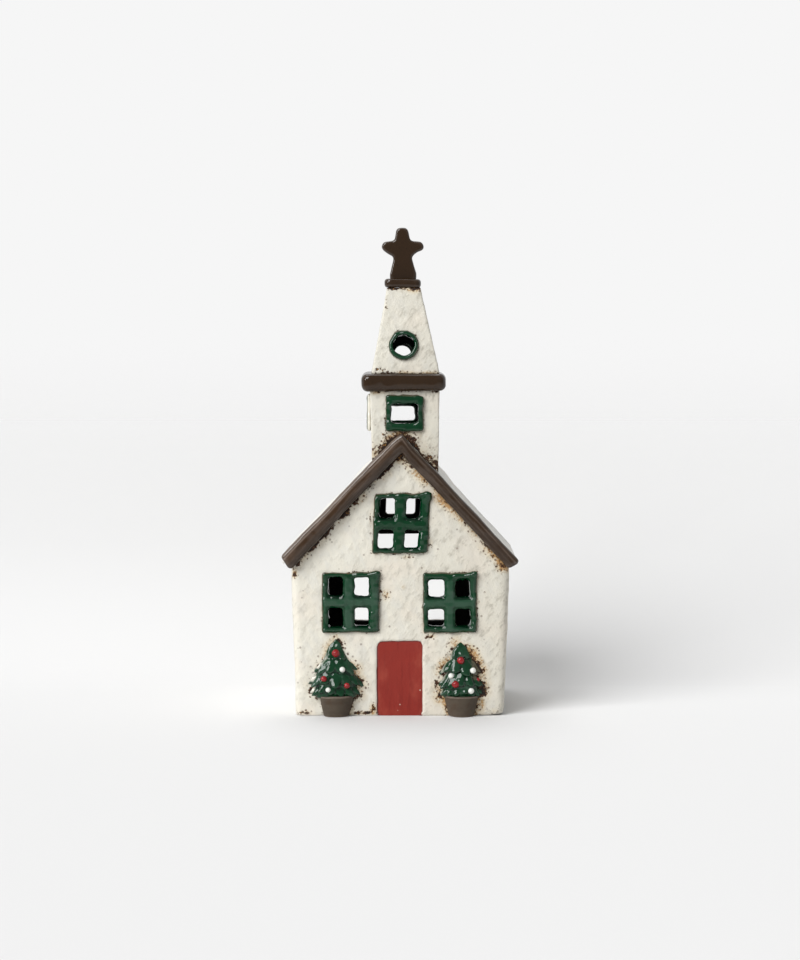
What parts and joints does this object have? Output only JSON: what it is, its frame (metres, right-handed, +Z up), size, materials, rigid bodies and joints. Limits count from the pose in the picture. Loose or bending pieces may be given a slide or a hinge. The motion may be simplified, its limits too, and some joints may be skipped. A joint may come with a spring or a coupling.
{
  "type": "ceramic christmas village house",
  "caption": "Church-shaped glazed ceramic christmas village house, hollow and open underneath, with cut-out windows, a tower with a spire and cross, and a tealight inside.",
  "frame": {"origin": "middle of the whole object's box, on the surface that it stands on", "axes": "+Z up, -Y to the front with the door, +X to the right as seen from the front"},
  "size_m": [0.114, 0.1001, 0.235],
  "materials": {
    "white_glaze": "gloss",
    "brown_glaze": "gloss",
    "green_glaze": "gloss",
    "red_glaze": "gloss",
    "pot_glaze": "gloss",
    "aluminium": "satin",
    "wax": "satin",
    "cotton": "matte",
    "steel": "satin"
  },
  "bodies": {
    "house": {"front_wall": "white_glaze", "rear_wall": "white_glaze", "left_wall": "white_glaze", "right_wall": "white_glaze", "left_roof_slab": "white_glaze", "right_roof_slab": "white_glaze", "tower_front_wall": "white_glaze", "tower_rear_wall": "white_glaze", "tower_left_wall": "white_glaze", "tower_right_wall": "white_glaze", "spire_front_wall": "white_glaze", "spire_rear_wall": "white_glaze", "spire_left_wall": "white_glaze", "spire_right_wall": "white_glaze", "left_tree_white_baubles": "white_glaze", "right_tree_white_baubles": "white_glaze", "left_bargeboard": "brown_glaze", "right_bargeboard": "brown_glaze", "tower_belt": "brown_glaze", "spire_collar": "brown_glaze", "cross": "brown_glaze", "gable_window_frame": "green_glaze", "left_window_frame": "green_glaze", "right_window_frame": "green_glaze", "left_tree": "green_glaze", "right_tree": "green_glaze", "tower_front_window_frame": "green_glaze", "tower_rear_window_frame": "green_glaze", "tower_left_window_frame": "green_glaze", "spire_front_window_ring": "green_glaze", "spire_rear_window_ring": "green_glaze", "door_tile": "red_glaze", "left_tree_red_baubles": "red_glaze", "right_tree_red_baubles": "red_glaze", "left_pot": "pot_glaze", "right_pot": "pot_glaze"},
    "tealight": {"tealight_cup": "aluminium", "tealight_wax": "wax", "tealight_wick": "cotton", "wick_clip": "steel"}
  },
  "joints": [
    {"name": "house_lift_off", "type": "slide", "parent": "tealight", "child": "house", "axis": [0, 0, 1], "range_m": [0, 0.06]}
  ]
}
